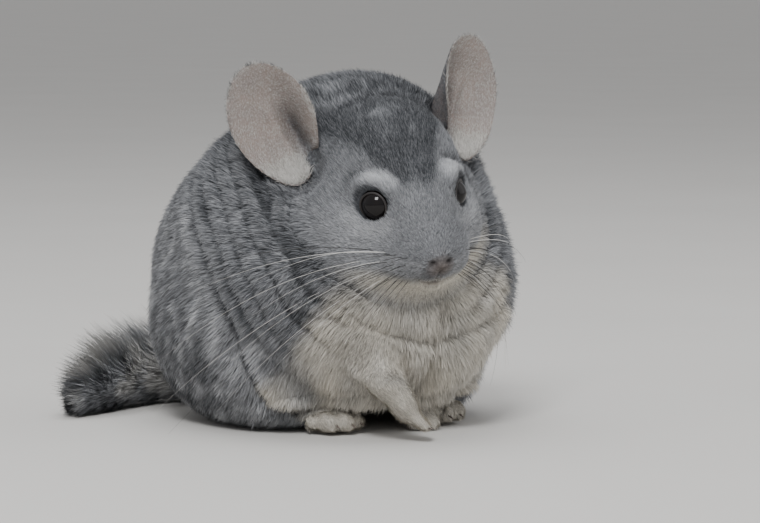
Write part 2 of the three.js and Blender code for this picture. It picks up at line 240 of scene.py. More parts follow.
def lie(p, normal, r):
    """The way the coat lies: from the nose back over the body, then down; out to the toes."""
    nose = from_head(NOSE)
    flow = unit(p - nose)
    flow[:, 2] -= 0.75 * step(150, 20, p[:, 2]) * (1 - r["head"])
    brow = r["head"] * step(-8, 12, r["h"][:, 2])
    flow += brow[:, None] * (HEAD_TURN @ np.array([0, 0.8, 0.5]))
    _, tail_way = line_distance(p, TAIL_LINE)
    flow = flow * (1 - r["tail"][:, None]) + tail_way * r["tail"][:, None]
    to_toes = np.array([0, -0.8, -0.6])
    flow = flow * (1 - r["feet"][:, None]) + to_toes * r["feet"][:, None]
    swirl = np.stack([ripple(p, wave, seed) for wave, seed in ((34, 1), (27, 2), (30, 3))], 1)
    flow = unit(flow) + 0.16 * swirl * (1 - 0.7 * r["head"][:, None])
    flow -= normal * np.sum(flow * normal, axis=1, keepdims=True)
    return unit(flow)


def behind_flank_line(p):
    """How far points are behind the slanting line in front of the haunches."""
    _, y, z = p.T
    return y + 52 - 0.54 * (z - 12)


def fold_lines(p, r):
    """Masks of the creases: before each haunch, over the shoulder, round the neck, on the chest."""
    x, y, z = p.T
    side = np.abs(x)
    h = r["h"]
    hx, hy, hz = h.T
    flank = step(34, 44, side) * (1 - r["head"]) * (1 - r["feet"])
    bow = 0.0042 * (z - 12) * (97 - z)
    across = behind_flank_line(p) + bow + 1.2 * ripple(p, 26, 14)
    haunch = bell(across, 2.6) * flank * step(112, 92, z)
    turns = (across + 1.5 * ripple(p, 30, 15)) / SHOULDER_FOLD_PITCH
    wave = 0.5 + 0.5 * np.cos(turns * 2 * math.pi)
    shoulder = wave ** 3 * flank * step(-58, -46, across) * step(-4, -9, across)
    shoulder *= step(30, 50, z) * step(132, 112, z)
    ring = lengths((h - [0, -14, -2]) * [0.82, 0.8, 1.0]) + 1.4 * ripple(p, 24, 16)
    beside = step(16, 30, np.abs(hx)) * step(20, 2, hz) * step(-56, -40, hz)
    wave = 0.5 + 0.5 * np.sin(ring * 2 * math.pi / NECK_FOLD_PITCH)
    neck = wave ** 3 * bell(ring - 43, 10) * beside * (1 - r["head"]) * (1 - shoulder)
    front = step(-70, -86, y) * step(66, 52, z) * step(8, 16, z)
    chest = bell(x - 2, 2.6) * front
    chest = np.maximum(chest, 0.7 * bell(z - 40 - 0.25 * side, 3) * front)
    return haunch, shoulder, neck, chest * (1 - r["feet"]) * (1 - r["head"])


def eye_marks(p, r):
    """What is darker and what is more silver round the eyes, and the painted shade where the ears'
    fronts meet the head.
    """
    dark, silver = np.zeros(len(p)), np.zeros(len(p))
    for name, middle in EYES.items():
        side_sign = 1 if name == "left" else -1
        gap = p - middle
        away = lengths(gap)
        rise = gap @ unit(np.array([[-0.1 * side_sign, -0.2, 1.0]]))[0] / (away + 1e-6)
        crescent = bell(away - 10.8, 2.3) * step(0.5, 0.9, rise) * r["head"]
        crescent *= 0.85 + 0.25 * ripple(p, 5, 10)
        beneath = bell(away - 12.5, 4) * step(-0.15, -0.7, rise) * r["head"]
        rim = bell(away - 7.7, 1.0) * r["head"]
        ear_front_shade_spot = from_head([[33.5 * side_sign, -3.0, -5.0]])[0]
        dark += 0.7 * rim - 0.6 * crescent - 0.15 * beneath
        # Painted shade in the dip where the ear's front meets the head
        dark += 0.6 * bell(lengths(p - ear_front_shade_spot), 6)
        silver += 0.62 * crescent + 0.3 * beneath - 0.6 * rim
    return dark, silver


def markings(p, r):
    """Masks of the coat's pattern and of painted shade: dark slate, bright silver and warm cream.
    """
    x, y, z = p.T
    h = r["h"]
    hx, hy, hz = h.T
    side = np.abs(x)
    haunch_fold, shoulder, neck, chest = fold_lines(p, r)
    body = (1 - r["head"]) * (1 - r["tail"])
    # The pale underside climbs up the chest to the chin, in front of the haunches
    across = behind_flank_line(p)
    edge = 20 + 44 * step(-58, -92, y) + 6 * ripple(p, 30, 11)
    cream = step(edge + 9, edge - 8, z) * np.maximum(step(3, -5, across), step(30, 20, side))
    cream *= step(10, -20, y) * (1 - r["head"]) * (0.8 + 0.2 * ripple(p, 20, 12))
    chin = r["head"] * step(-16, -23, hz) * step(16, -16, hy)
    cream = np.maximum(cream, chin)
    cream = np.maximum(cream, 0.85 * r["feet"])
    # Dark along the back, the crown and the middle of the brow
    warped = p + 3.5 * np.stack([ripple(p, 22, seed) for seed in (41, 42, 43)], 1)
    calm = 1 - 0.65 * step(8, -6, across) * step(20, 36, side) * step(34, 50, z)
    mottle = calm * ripple(warped * [1, 1, 0.7], 10.5, 5)
    broad = ripple(warped, 30, 6)
    back = step(84, 130, z + 0.12 * y) * body
    spine = bell(x, 38) * step(-30, 10, y) * body
    stripe = np.abs(hx + 1.5)
    wide = 5 + 0.42 * np.clip(hy + 38, 0, 60)
    crown = r["head"] * step(wide + 8, wide - 6, stripe) * step(-46, -20, hy)
    crown *= 0.8 + 0.35 * bell(stripe - wide + 3, 3.5) + 0.12 * ripple(warped, 12, 9)
    dark = 0.34 + 0.54 * back + 0.12 * spine + 0.72 * crown - 0.06 * r["muzzle"]
    dark += (0.22 * mottle + 0.12 * broad) * (1 - 0.6 * r["face"]) + 0.08 * r["head"]
    # Painted shade on the lower haunch, darker towards the floor
    haunch_underside_shade = step(52, 20, z + 3 * broad) * step(-46, -24, y) * body
    dark += 0.42 * haunch_underside_shade
    # Darker along the creases: partly the dark undercoat where the coat parts, partly painted shade
    # in the folds
    dark += 0.6 * haunch_fold + 0.42 * shoulder + 0.4 * neck + 0.2 * chest
    # Silver: over each eye, behind the cheek and in mottles on the flank
    flecks = calm * step(0.0, 0.9, -ripple(warped, 6.5, 7))
    mottles = 0.36 * step(0.0, 0.8, -mottle) + 0.34 * flecks
    silver = 0.12 + mottles * body * (1 - np.clip(1.1 * back, 0, 1))
    beside = bell(across + 1, 14) * step(105, 80, z) * step(36, 46, side)
    # The haunch and shoulder folds lose silver: partly the undercoat where the coat parts, partly
    # painted shade
    silver += 0.22 * beside * body - 0.3 * (haunch_fold + shoulder) + 0.12 * r["face"]
    cheek = r["head"] * step(10, 22, np.abs(hx)) * step(4, -14, hz)
    silver += 0.22 * cheek
    eye_dark, eye_silver = eye_marks(p, r)
    dark += eye_dark - 0.14 * cheek
    silver += eye_silver
    silver = silver * (1 - 0.85 * step(0.55, 1.0, dark))
    # Rows of dark spots at the roots of the whiskers
    pads = r["muzzle"] * step(4, 7, stripe) * step(-8, -11, hz) * step(-20, -17, hz)
    rows = bell((hz + 10.5) % 2.8 - 1.4, 0.55) * bell((hy + 46) % 3.0 - 1.5, 0.6)
    dark += 0.9 * pads * rows
    silver += 0.22 * pads * (1 - rows)
    tail_low = r["tail"] * step(15, 8, z)
    dark = dark * (1 - r["tail"]) + r["tail"] * (0.35 + 0.5 * tail_low)
    silver = silver * (1 - r["tail"]) + r["tail"] * 0.4 * (1 - tail_low)
    return np.clip(np.stack([dark, silver, cream], 1), 0, 1)


# Shader maths
class Wire:
    """A socket of a material's node tree, with arithmetic."""

    def __init__(self, tree, socket):
        self.tree = tree
        self.socket = socket

    def node(self, kind, settings=None, out=0, **values):
        """A node of a kind: its settings, then its sockets by name, or by n and a number."""
        made = self.tree.nodes.new("ShaderNode" + kind)
        for key, value in (settings or {}).items():
            if key == "stops":
                ramp = made.color_ramp
                while len(ramp.elements) < len(value):
                    ramp.elements.new(0.5)
                for element, (position, colour) in zip(ramp.elements, value):
                    element.position = position
                    element.color = colour
            else:
                setattr(made, key, value)
        for key, value in values.items():
            name = int(key[1:]) if key[0] == "n" and key[1:].isdigit() else key.replace("_", " ")
            target = made.inputs[name]
            if isinstance(value, Wire):
                self.tree.links.new(value.socket, target)
            else:
                target.default_value = value
        return Wire(self.tree, made.outputs[out])

    def maths(self, operation, a, b):
        return self.node("Math", {"operation": operation}, n0=a, n1=b)

    def __add__(self, other):
        return self.maths("ADD", self, other)

    def __radd__(self, other):
        return self.maths("ADD", other, self)

    def __sub__(self, other):
        return self.maths("SUBTRACT", self, other)

    def __rsub__(self, other):
        return self.maths("SUBTRACT", other, self)

    def __mul__(self, other):
        return self.maths("MULTIPLY", self, other)

    def __rmul__(self, other):
        return self.maths("MULTIPLY", other, self)

    def channels(self, name):
        """The three numbers that a piece's attribute holds at each point."""
        colour = self.node("Attribute", {"attribute_name": name})
        split = self.node("SeparateColor", Color=colour)
        return [Wire(self.tree, split.socket.node.outputs[i]) for i in range(3)]

    def noise(self, scale, detail, **values):
        """Clouds fixed in the piece, about 0 to 1. Output 3 of the coordinates is Object."""
        spot = self.node("TexCoord", out=3)
        return self.node("TexNoise", Vector=spot, Scale=scale, Detail=detail, **values)

    def clamped(self):
        return self.node("Clamp", Value=self)

    def mixed(self, a, b):
        """Colour a where this mask is 0, and colour b where it is 1. Output 2 is the colour."""
        return self.node("Mix", {"data_type": "RGBA"}, out=2, n0=self, n6=a, n7=b)


def material(name, **settings):
    """A material, its principled shader and a wire to start expressions from."""
    made = bpy.data.materials.new(name)
    made.use_nodes = True
    tree = made.node_tree
    shader = next(n for n in tree.nodes if n.type == "BSDF_PRINCIPLED")
    for key, value in settings.items():
        shader.inputs[key.replace("_", " ")].default_value = value
    return made, shader, Wire(tree, None)


def feed(shader, name, wire):
    wire.tree.links.new(wire.socket, shader.inputs[name])


def rgb(red, green, blue):
    return (red, green, blue, 1.0)


def grey(level):
    return rgb(level, level, level)


SLATE = rgb(0.021, 0.0235, 0.028)
SMOKE = rgb(0.185, 0.193, 0.208)
SILVER = rgb(0.62, 0.63, 0.65)
CREAM = rgb(0.86, 0.81, 0.71)
DULL_CREAM = rgb(0.47, 0.435, 0.375)
UNDER = rgb(0.075, 0.078, 0.085)
NOSE_SKIN, NOSE_FLECK = rgb(0.075, 0.058, 0.052), rgb(0.15, 0.122, 0.108)
NOSTRIL_MOUTH_SHADE = rgb(0.008, 0.006, 0.006)
EAR_SKIN, EAR_DUSK = rgb(0.31, 0.245, 0.215), rgb(0.20, 0.175, 0.17)
EAR_HOLLOW_SHADE, EAR_BACK = rgb(0.055, 0.045, 0.044), rgb(0.12, 0.11, 0.115)
EAR_RIM, EAR_SPECK = rgb(0.33, 0.30, 0.29), rgb(0.50, 0.47, 0.45)


def coat_colour(wire, ticking):
    """The coat's colour from its masks. Ticking, about 0 to 1, makes a hair darker or paler."""
    dark, silver, cream = wire.channels("markings")
    dark = (dark + (0.5 - ticking) * 0.75).clamped()
    silver = (silver * 0.9 + (ticking - 0.66) * (0.55 - dark * 0.35)).clamped()
    body = silver.mixed(dark.mixed(SMOKE, SLATE), SILVER)
    return cream.mixed(body, ticking.mixed(DULL_CREAM, CREAM)), cream


def coat_material():
    """Each tuft: grey at its root, banded pale below its dark tip."""
    made, shader, wire = material("soft_coat", Roughness=0.62, Specular_IOR_Level=0.2)
    along, chance, _ = wire.channels("hair")
    band = wire.node("ValToRGB", {"stops": [
        (0.0, grey(0.35)), (0.5, grey(0.5)), (0.8, grey(0.95)), (1.0, grey(0.3))]}, Fac=along)
    colour, cream = coat_colour(wire, (band * 0.5 + chance * 0.6).clamped())
    root = wire.node("ValToRGB", {"stops": [(0.0, grey(1)), (0.6, grey(0))]}, Fac=along)
    colour = (root * (0.7 - cream * 0.45)).clamped().mixed(colour, UNDER)
    feed(shader, "Base Color", colour)
    return made


def skin_material():
    """The skin with the coat's markings and painted shade, its bare nose, and painted shade in the
    nostrils, the cleft and the mouth's line.
    """
    made, shader, wire = material("skin_under_coat", Roughness=0.75, Specular_IOR_Level=0.2)
    grain = wire.noise(900.0, 4.0, Roughness=0.6)
    fleck = (grain * 2.4 - 0.8).clamped()
    colour, cream = coat_colour(wire, fleck)
    colour = (0.4 - cream * 0.2).clamped().mixed(colour, UNDER)
    # The second channel is painted shade in the nostrils, the cleft and the mouth's line
    nose, nostril_mouth_shade, _ = wire.channels("bare")
    colour = nose.mixed(colour, fleck.mixed(NOSE_SKIN, NOSE_FLECK))
    colour = nostril_mouth_shade.mixed(colour, NOSTRIL_MOUTH_SHADE)
    feed(shader, "Base Color", colour)
    bump = wire.node("Bump", Height=grain, Strength=0.5, Distance=0.0004)
    feed(shader, "Normal", bump)
    return made


def ear_material():
    """Thin cloudy skin: painted shade in the hollow, greyer on the back, pale at the rim."""
    made, shader, wire = material("ear_skin", Roughness=0.55, Specular_IOR_Level=0.3)
    shader.inputs["Subsurface Weight"].default_value = 0.15
    shader.inputs["Subsurface Radius"].default_value = (0.004, 0.0015, 0.001)
    cloud = wire.noise(70.0, 5.0)
    fine = wire.noise(1500.0, 3.0)
    rim, hollow, back = wire.channels("ear")
    colour = (cloud * 1.6 - 0.3).clamped().mixed(EAR_SKIN, EAR_DUSK)
    # Painted shade in the hollow behind the front fold
    colour = (hollow * 0.9).clamped().mixed(colour, EAR_HOLLOW_SHADE)
    colour = (back * 0.7).clamped().mixed(colour, EAR_BACK)
    colour = (rim * 0.7).clamped().mixed(colour, EAR_RIM)
    speck = (fine * 3 - 1.35).clamped()
    colour = (speck * 0.35).clamped().mixed(colour, EAR_SPECK)
    feed(shader, "Base Color", colour)
    bump = wire.node("Bump", Height=fine, Strength=0.35, Distance=0.0003)
    feed(shader, "Normal", bump)
    return made


def eye_material():
    made, shader, wire = material("dark_eye", Roughness=0.04, Specular_IOR_Level=0.27)
    veil = (wire.noise(300.0, 2.0) * 0.6).clamped()
    feed(shader, "Base Color", veil.mixed(rgb(0.004, 0.004, 0.005), rgb(0.014, 0.010, 0.008)))
    return made


def plain_material(name, colour, other, scale, roughness):
    """Two near colours in clouds."""
    made, shader, wire = material(name, Roughness=roughness)
    feed(shader, "Base Color", wire.noise(scale, 3.0).mixed(colour, other))
    return made


# Meshes
def new_object(name, data):
    made = bpy.data.objects.new(name, data)
    bpy.context.scene.collection.objects.link(made)
    return made


def taken(work, name):
    """The mesh of a bmesh, which is freed."""
    mesh = bpy.data.meshes.new(name)
    work.to_mesh(mesh)
    work.free()
    return mesh


def aimed(way):
    """The turn that lays +Z along a way."""
    return Vector((0, 0, 1)).rotation_difference(Vector(way)).to_matrix().to_4x4()


def finish_piece(name, mesh, surface, slot, nodes=(), smooth=True):
    """A piece of the animal: its finish, its body and the nodes it stands for. The slot is not
    used.
    """
    piece = new_object(name, mesh)
    mesh.materials.clear()
    mesh.materials.append(surface)
    if smooth:
        mesh.shade_smooth()
    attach(piece, "root")
    if nodes:
        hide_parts(*nodes)
    return piece


def evaluated(helper, name):
    """The mesh of a helper object with its modifiers applied. The helper is removed."""
    depsgraph = bpy.context.evaluated_depsgraph_get()
    made = bpy.data.meshes.new_from_object(helper.evaluated_get(depsgraph))
    bpy.data.objects.remove(helper)
    made.name = name
    return made


def applied(name, mesh, *modifiers):
    """A new mesh with modifiers applied: each is its kind and a dict of settings."""
    helper = new_object(name, mesh)
    for kind, settings in modifiers:
        modifier = helper.modifiers.new(kind.lower(), kind)
        for key, value in settings.items():
            setattr(modifier, key, value)
    return evaluated(helper, name)


def smoothed(name, mesh, weight, factor, iterations):
    """A mesh relaxed by a weight at each point, in tenths."""
    helper = new_object(name, mesh)
    group = helper.vertex_groups.new(name="ease")
    tenths = np.clip((weight * 10).round().astype(int), 0, 10)
    for level in range(1, 11):
        group.add(np.nonzero(tenths == level)[0].tolist(), level / 10, "REPLACE")
    modifier = helper.modifiers.new("ease", "SMOOTH")
    modifier.factor = factor
    modifier.iterations = iterations
    modifier.vertex_group = "ease"
    return evaluated(helper, name)


def points_of(mesh):
    """A mesh's points, in the animal's frame."""
    found = np.empty(len(mesh.vertices) * 3)
    mesh.vertices.foreach_get("co", found)
    return found.reshape(-1, 3) / MM - SHIFT


def normals_of(mesh):
    found = np.empty(len(mesh.vertices) * 3, dtype=np.float32)
    mesh.vertex_normals.foreach_get("vector", found)
    return found.reshape(-1, 3).astype(float)


def put_points(mesh, points):
    mesh.vertices.foreach_set("co", place(points).astype(np.float32).ravel())
    mesh.update()


def colour_attribute(mesh, name, values):
    """Up to three numbers at each point of a mesh, kept as a colour."""
    rows = np.ones((len(mesh.vertices), 4), np.float32)
    rows[:, :values.shape[1]] = values
    layer = mesh.color_attributes.new(name, "FLOAT_COLOR", "POINT")
    layer.data.foreach_set("color", rows.ravel())


def smooth_line(points, count):
    """Points along a smooth line through the given ones."""
    p = np.array(points, float)
    p = np.vstack([2 * p[0] - p[1], p, 2 * p[-1] - p[-2]])
    made = []
    for t in np.linspace(0, len(points) - 1 - 1e-6, count):
        i = int(t)
        u = t - i
        a, b, c, d = p[i], p[i + 1], p[i + 2], p[i + 3]
        made.append(0.5 * (2 * b + (c - a) * u + (2 * a - 5 * b + 4 * c - d) * u ** 2
                           + (3 * b - a - 3 * c + d) * u ** 3))
    return np.array(made)


def fingers(arm):
    """The four fingers of a forepaw: where each starts and ends, and the way it points."""
    wrist, knuckles = np.array(arm[1], float), np.array(arm[2], float)
    heading = (knuckles - wrist) * [1, 1, 0]
    heading /= np.linalg.norm(heading)
    beside = np.array([-heading[1], heading[0], 0])
    root_gap, tip_gap, length, droop = 3.2, 3.6, 7, 3.8
    for aside in (-1.5, -0.5, 0.5, 1.5):
        root = knuckles + beside * aside * root_gap + heading * 1.5 - [0, 0, 0.8]
        tip = knuckles + beside * aside * tip_gap + heading * (length - abs(aside))
        yield root, tip - [0, 0, droop], heading


def add_ball(work, spot, radius, segments, rings):
    bmesh.ops.create_uvsphere(work, u_segments=segments, v_segments=rings, radius=radius * MM,
                              matrix=Matrix.Translation(place(spot)))


def tail_radius(t):
    """The tail's thickness at a share of its length."""
    return np.interp(t * (len(TAIL_RADII) - 1), range(len(TAIL_RADII)), TAIL_RADII)


def along_line(line, t):
    """Points at shares of a line of evenly placed points."""
    return np.stack([np.interp(t, np.linspace(0, 1, len(line)), line[:, i]) for i in range(3)], 1)


def merged_nodes(names):
    """A bmesh of nodes, with their corners joined."""
    work = bmesh.new()
    for name in names:
        work.from_mesh(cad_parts[name].data)
    bmesh.ops.remove_doubles(work, verts=work.verts, dist=1e-6)
    return work


def build_skin(surface):
    """One skin from the flesh's nodes, drawn in by the coat's depth, with its folds."""
    swell = 0.5
    nape_at, nape_half = (-5, -60, 112), (36, 26, 30.5)
    work = merged_nodes(FLESH)
    for vert in work.verts:
        vert.normal_update()
    for vert in work.verts:
        vert.co += vert.normal * swell * MM
    # The nape's fat fills the dip between the crown and the back
    nape = Matrix.Translation(place(nape_at)) @ Matrix.Diagonal((*nape_half, 1))
    bmesh.ops.create_uvsphere(work, u_segments=48, v_segments=32, radius=MM, matrix=nape)
    for arm in (ARM_RIGHT, ARM_LEFT):
        for root, tip, _ in fingers(arm):
            for spot, radius in ((root, 2.5), ((root + tip) / 2, 2.4), (tip, 2.1)):
                add_ball(work, spot, radius, 14, 10)
    # The tail's core lies 1 mm over the floor
    balls = 28
    for i, spot in enumerate(smooth_line(TAIL_LINE, balls)):
        radius = tail_radius(i / (balls - 1))
        add_ball(work, (spot[0], spot[1], radius + 1), radius, 20, 12)
    rough = taken(work, "rough_skin")
    mesh = applied("skin", rough, ("REMESH", {"mode": "VOXEL", "voxel_size": VOXEL * MM}))
    p = points_of(mesh)
    r = regions(p)
    crown = step(92, 112, p[:, 2]) * bell(p[:, 0] + 5, 40) * (1 - r["face"])
    mesh = smoothed("skin", mesh, 1 - 0.88 * r["feet"], 0.5, 16)
    mesh = smoothed("skin", mesh, crown, 0.5, 90)
    p = points_of(mesh)
    n = normals_of(mesh)
    r = regions(p)
    haunch_fold, shoulder, neck, chest = fold_lines(p, r)
    creases = 4.6 * haunch_fold + 3.0 * shoulder + 2.8 * neck + 3.0 * chest
    p = p - n * (coat_depth(r) + creases)[:, None]
    p = behind_ears(p)
    p[:, 2] = np.maximum(p[:, 2], SKIN_OVER_FLOOR)
    put_points(mesh, p)
    mesh = smoothed("skin", mesh, 1 - 0.8 * r["feet"], 0.4, 2)
    p = face_details(points_of(mesh), normals_of(mesh), r)
    put_points(mesh, p)
    n = normals_of(mesh)
    r = regions(p)
    colour_attribute(mesh, "markings", markings(p, r))
    colour_attribute(mesh, "bare", bare_places(p, r))
    skin = finish_piece("skin", mesh, surface, "back_coat", FLESH + ["tail"])
    return skin, p, n


def behind_ears(p):
    """The skin is kept behind each ear's leaf, so that the cup stays open to its foot."""
    h = in_head(p)
    for side in (1, -1):
        above, outline = above_ear(h, side)
        facing = ear_frame(side)[3]
        inside = step(1.18, 1.0, outline) * step(-1, 1, above) * step(20, 14, above)
        inside *= step(28, 33, h[:, 0] * side)
        h = h - facing * (inside * (above + 1.5))[:, None]
    return from_head(h)


NOSTRILS = [(3.3, -51.6, -9.6), (-3.3, -51.6, -9.6)]
MOUTH_HEIGHT = -21.5


def bare_places(p, r):
    """Masks of the bare nose and lips, and of the painted shade in the nostrils, the cleft and the
    mouth's line.
    """
    h = r["h"]
    hx, hy, hz = h.T
    nose = 0.9 * bell(lengths((h - (0, -53, -12)) * [0.75, 1, 0.9]), 4.6)
    mouth = mouth_line(h) * r["muzzle"]
    lips = 0.6 * bell(hz - MOUTH_HEIGHT, 3.5) * bell(hx, 7) * r["muzzle"]
    nose = np.maximum(nose, lips)
    nostril_shade = 0
    for spot in NOSTRILS:
        slant = (h - spot) * [0.75, 0.6, 1.35]
        slant[:, 2] += 0.5 * np.sign(spot[0]) * slant[:, 0]
        nostril_shade = nostril_shade + bell(lengths(slant), 1.5)
    cleft = cleft_line(h, 0.6) * r["muzzle"]
    # Painted shade: the nostrils, the cleft and the mouth's line are darkened
    dark = np.clip(1.3 * nostril_shade + 0.8 * mouth + 0.6 * cleft, 0, 1)
    return np.stack([np.clip(nose, 0, 1), dark], 1)


def mouth_line(h):
    """The mouth's line, which curves up to its corners."""
    hx, _, hz = h.T
    return bell(hz - MOUTH_HEIGHT - 0.05 * hx ** 2, 0.9) * bell(hx, 8)


def cleft_line(h, width):
    """The cleft from the nose down to the mouth."""
    hx, _, hz = h.T
    return bell(hx, width) * step(-20.5, -18, hz) * step(-11, -13, hz)


def face_details(p, n, r):
    """Nostrils, the cleft and the mouth's line pressed in; eye sockets drawn round."""
    socket = EYE_RADIUS + 0.35
    h = in_head(p)
    hx, hy, hz = h.T
    muzzle = r["muzzle"]
    push = np.zeros(len(p))
    for spot in NOSTRILS:
        push += 1.8 * bell(lengths((h - spot) * [0.7, 0.6, 1.3]), 1.4)
    push += 0.9 * cleft_line(h, 0.9) * muzzle
    push += 1.6 * mouth_line(h) * muzzle
    # The nose pad and the lips stand out a little, and a fat lid hoods each eye
    push -= 0.9 * bell(lengths((h - (0, -52, -11.5)) * [0.7, 1, 1]), 3.6)
    push -= 0.8 * bell(hz + 24.5, 2.2) * bell(hx, 7) * muzzle
    for middle in EYES.values():
        gap = p - middle
        away = lengths(gap)
        rise = gap[:, 2] / (away + 1e-6)
        push -= 1.9 * bell(away - 10.0, 2.2) * step(0.1, 0.8, rise)
        push -= 0.7 * bell(away - 9.8, 2.0) * step(-0.2, -0.8, rise)
        push += 0.8 * bell(away - 14.5, 1.6) * step(0.3, 0.8, rise)
    p = p - n * push[:, None]
    for middle in EYES.values():
        gap = p - middle
        away = lengths(gap)
        close = away < socket
        p[close] = middle + gap[close] / away[close, None] * socket
    return p


# The coat
class Coat:
    """Roots on the skin, and flat tapering tufts grown from them, in pieces by place."""

    def __init__(self, mesh, points, normals):
        mesh.calc_loop_triangles()
        corners = np.empty(len(mesh.loop_triangles) * 3, dtype=np.int32)
        mesh.loop_triangles.foreach_get("vertices", corners)
        self.corners = corners.reshape(-1, 3)
        self.points = points
        self.normals = normals
        a, b, c = (points[self.corners[:, i]] for i in range(3))
        self.area = lengths(np.cross(b - a, c - a)) / 2
        self.middle = (a + b + c) / 3

    def roots(self, weight, count):
        """Random places on the mesh, more of them where the weight of a face is higher."""
        chance = self.area * weight
        chosen = rng.choice(len(chance), count, p=chance / chance.sum())
        mix = rng.dirichlet((1, 1, 1), count)
        corner = self.corners[chosen]
        spots = np.einsum("ij,ijk->ik", mix, self.points[corner])
        normals = unit(np.einsum("ij,ijk->ik", mix, self.normals[corner]))
        return spots, normals


# A blade's corners, from its root to its tip, its three faces, and its patch on the map
BLADE_ALONG = [0.0, 0.0, 0.55, 0.55, 1.0]
BLADE_FACES = np.array([[0, 1, 3], [0, 3, 2], [2, 3, 4]])
BLADE_PATCH = np.array([[0, 0], [1, 0], [0.1, 0.5], [0.9, 0.5], [0.5, 1]]) * 0.003
MAP_ROOM = 0.996
ROOT_SINK, MIDDLE_WIDTH, HAIR_OVER_FLOOR, SKIN_OVER_FLOOR = 0.4, 0.8, 0.3, 0.6


def grow_tufts(name, surface, roots, normals, length, lift, width, way, marks, middle, slot,
               curve=0.5):
    """One coat piece: each tuft is a bent blade of three triangles."""
    count = len(roots)
    chance = rng.random(count)
    across = unit(np.cross(way, normals) + 0.35 * rng.normal(size=(count, 3)))
    out = normals * np.sin(lift)[:, None] + way * np.cos(lift)[:, None]
    drop = lift * (1 - curve)
    bent = normals * np.sin(drop)[:, None] + way * np.cos(drop)[:, None]
    reach_mid = roots + out * (length * 0.5)[:, None]
    tip = reach_mid + bent * (length * 0.5)[:, None]
    half = across * (width / 2)[:, None]
    base = roots - normals * ROOT_SINK
    corners = np.stack([base - half, base + half, reach_mid - half * MIDDLE_WIDTH,
                        reach_mid + half * MIDDLE_WIDTH, tip], axis=1)
    corners[:, :, 2] = np.maximum(corners[:, :, 2], HAIR_OVER_FLOOR)
    flat = corners.reshape(-1, 3)
    each = len(BLADE_ALONG)
    faces = (BLADE_FACES[None] + each * np.arange(count)[:, None, None]).reshape(-1, 3)
    mesh = bpy.data.meshes.new(name)
    mesh.vertices.add(len(flat))
    mesh.loops.add(faces.size)
    mesh.polygons.add(len(faces))
    mesh.vertices.foreach_set("co", place(flat).astype(np.float32).ravel())
    mesh.loops.foreach_set("vertex_index", faces.astype(np.int32).ravel())
    mesh.polygons.foreach_set("loop_start", np.arange(0, faces.size, 3, dtype=np.int32))
    mesh.update()
    mesh.validate()
    # The map: a small patch for each tuft, at its root's bearing from the region's middle
    bearing = unit(roots - middle)
    u = 0.5 + np.arctan2(bearing[:, 0], -bearing[:, 1]) / (2 * math.pi)
    v = 0.5 + np.arcsin(np.clip(bearing[:, 2], -1, 1)) / math.pi
    at = np.clip(np.stack([u, v], 1)[:, None, :] * MAP_ROOM, 0, MAP_ROOM)
    uv = at + BLADE_PATCH[None]
    layer = mesh.uv_layers.new(name="OFBake")
    layer.data.foreach_set("uv", uv.reshape(-1, 2)[faces.ravel()].astype(np.float32).ravel())
    along = np.tile(BLADE_ALONG, count)
    colour_attribute(mesh, "markings", np.repeat(marks, each, axis=0))
    colour_attribute(mesh, "hair", np.stack([along, np.repeat(chance, each), along * 0], 1))
    # The light falls on a tuft nearly as it does on the skin under it
    shade = unit(np.repeat(normals, each, axis=0) * 0.6
                 + np.repeat(out, each, axis=0) * 0.15
                 + 0.2 * np.repeat(rng.normal(size=(count, 3)), each, axis=0))
    mesh.shade_smooth()
    mesh.normals_split_custom_set_from_vertices(shade.astype(np.float32))
    return finish_piece(name, mesh, surface, slot, smooth=False)


def may_grow(roots):
    """Where tufts may grow: not on the eyes, the bare nose, or in an ear's cup."""
    region = regions(roots)
    keep = bare_places(roots, region).max(1) < 0.4
    for middle in EYES.values():
        keep &= lengths(roots - middle) > EYE_RADIUS + 0.9
    for side in (1, -1):
        above, outline = above_ear(region["h"], side)
        keep &= ~((outline < 1.0) & (above > -3) & (above < 14) & (region["h"][:, 0] * side > 29))
    return keep


def grow_coat(mesh, points, normals, surface):
    """The short coat of the head, the feet and the body, the body's in parts by bearing."""
    coat = Coat(mesh, points, normals)
    r = regions(coat.middle)
    bearing = np.degrees(np.arctan2(coat.middle[:, 0], -(coat.middle[:, 1] + 22))) % 360
    body = (1 - r["head"]) * (1 - r["tail"]) * (1 - r["feet"])
    hidden = step(2.5, 1.0, coat.middle[:, 2])
    body = body * (1 - 0.97 * hidden)
    jobs = [("coat_head_back", r["head"] * (1 - r["face"]), TUFTS["head_back"], "back_coat"),
            ("coat_face", r["face"], TUFTS["face"], "back_coat"),
            ("coat_feet", r["feet"] * (1 - hidden), TUFTS["feet"], "pale_coat")]
    sweep = 360 / BODY_PIECES
    for i in range(BODY_PIECES):
        sector = (bearing >= sweep * i) & (bearing < sweep * (i + 1))
        jobs.append((f"coat_body_{i + 1}", body * sector, TUFTS["body"], "back_coat"))
    for name, weight, count, slot in jobs:
        roots, normal = coat.roots(weight, int(count * TUFT_SHARE))
        keep = may_grow(roots)
        roots, normal = roots[keep], normal[keep]
        region = regions(roots)
        way = lie(roots, normal, region)
        length = coat_length(roots, region)
        clump = ripple(roots, 5.0, 21)
        stray = rng.normal(size=len(roots))
        lift = np.radians(27 - 5 * region["head"] - 4 * region["face"] - 4 * region["feet"])
        lift = lift * (1 + 0.16 * clump + 0.12 * stray)
        length = length * (1 + 0.07 * clump + 0.12 * rng.normal(size=len(roots)))
        width = 0.12 + 0.032 * length
        marks = markings(roots, region)
        middle = coat.middle[weight > 0.5].mean(0)
        if name in ("coat_head_back", "coat_face"):
            middle = from_head((0, -10, -3))
        way = unit(way + 0.10 * rng.normal(size=way.shape))
        grow_tufts(name, surface, roots, normal, np.maximum(length, 1.2), lift, width, way,
                   marks, middle, slot)


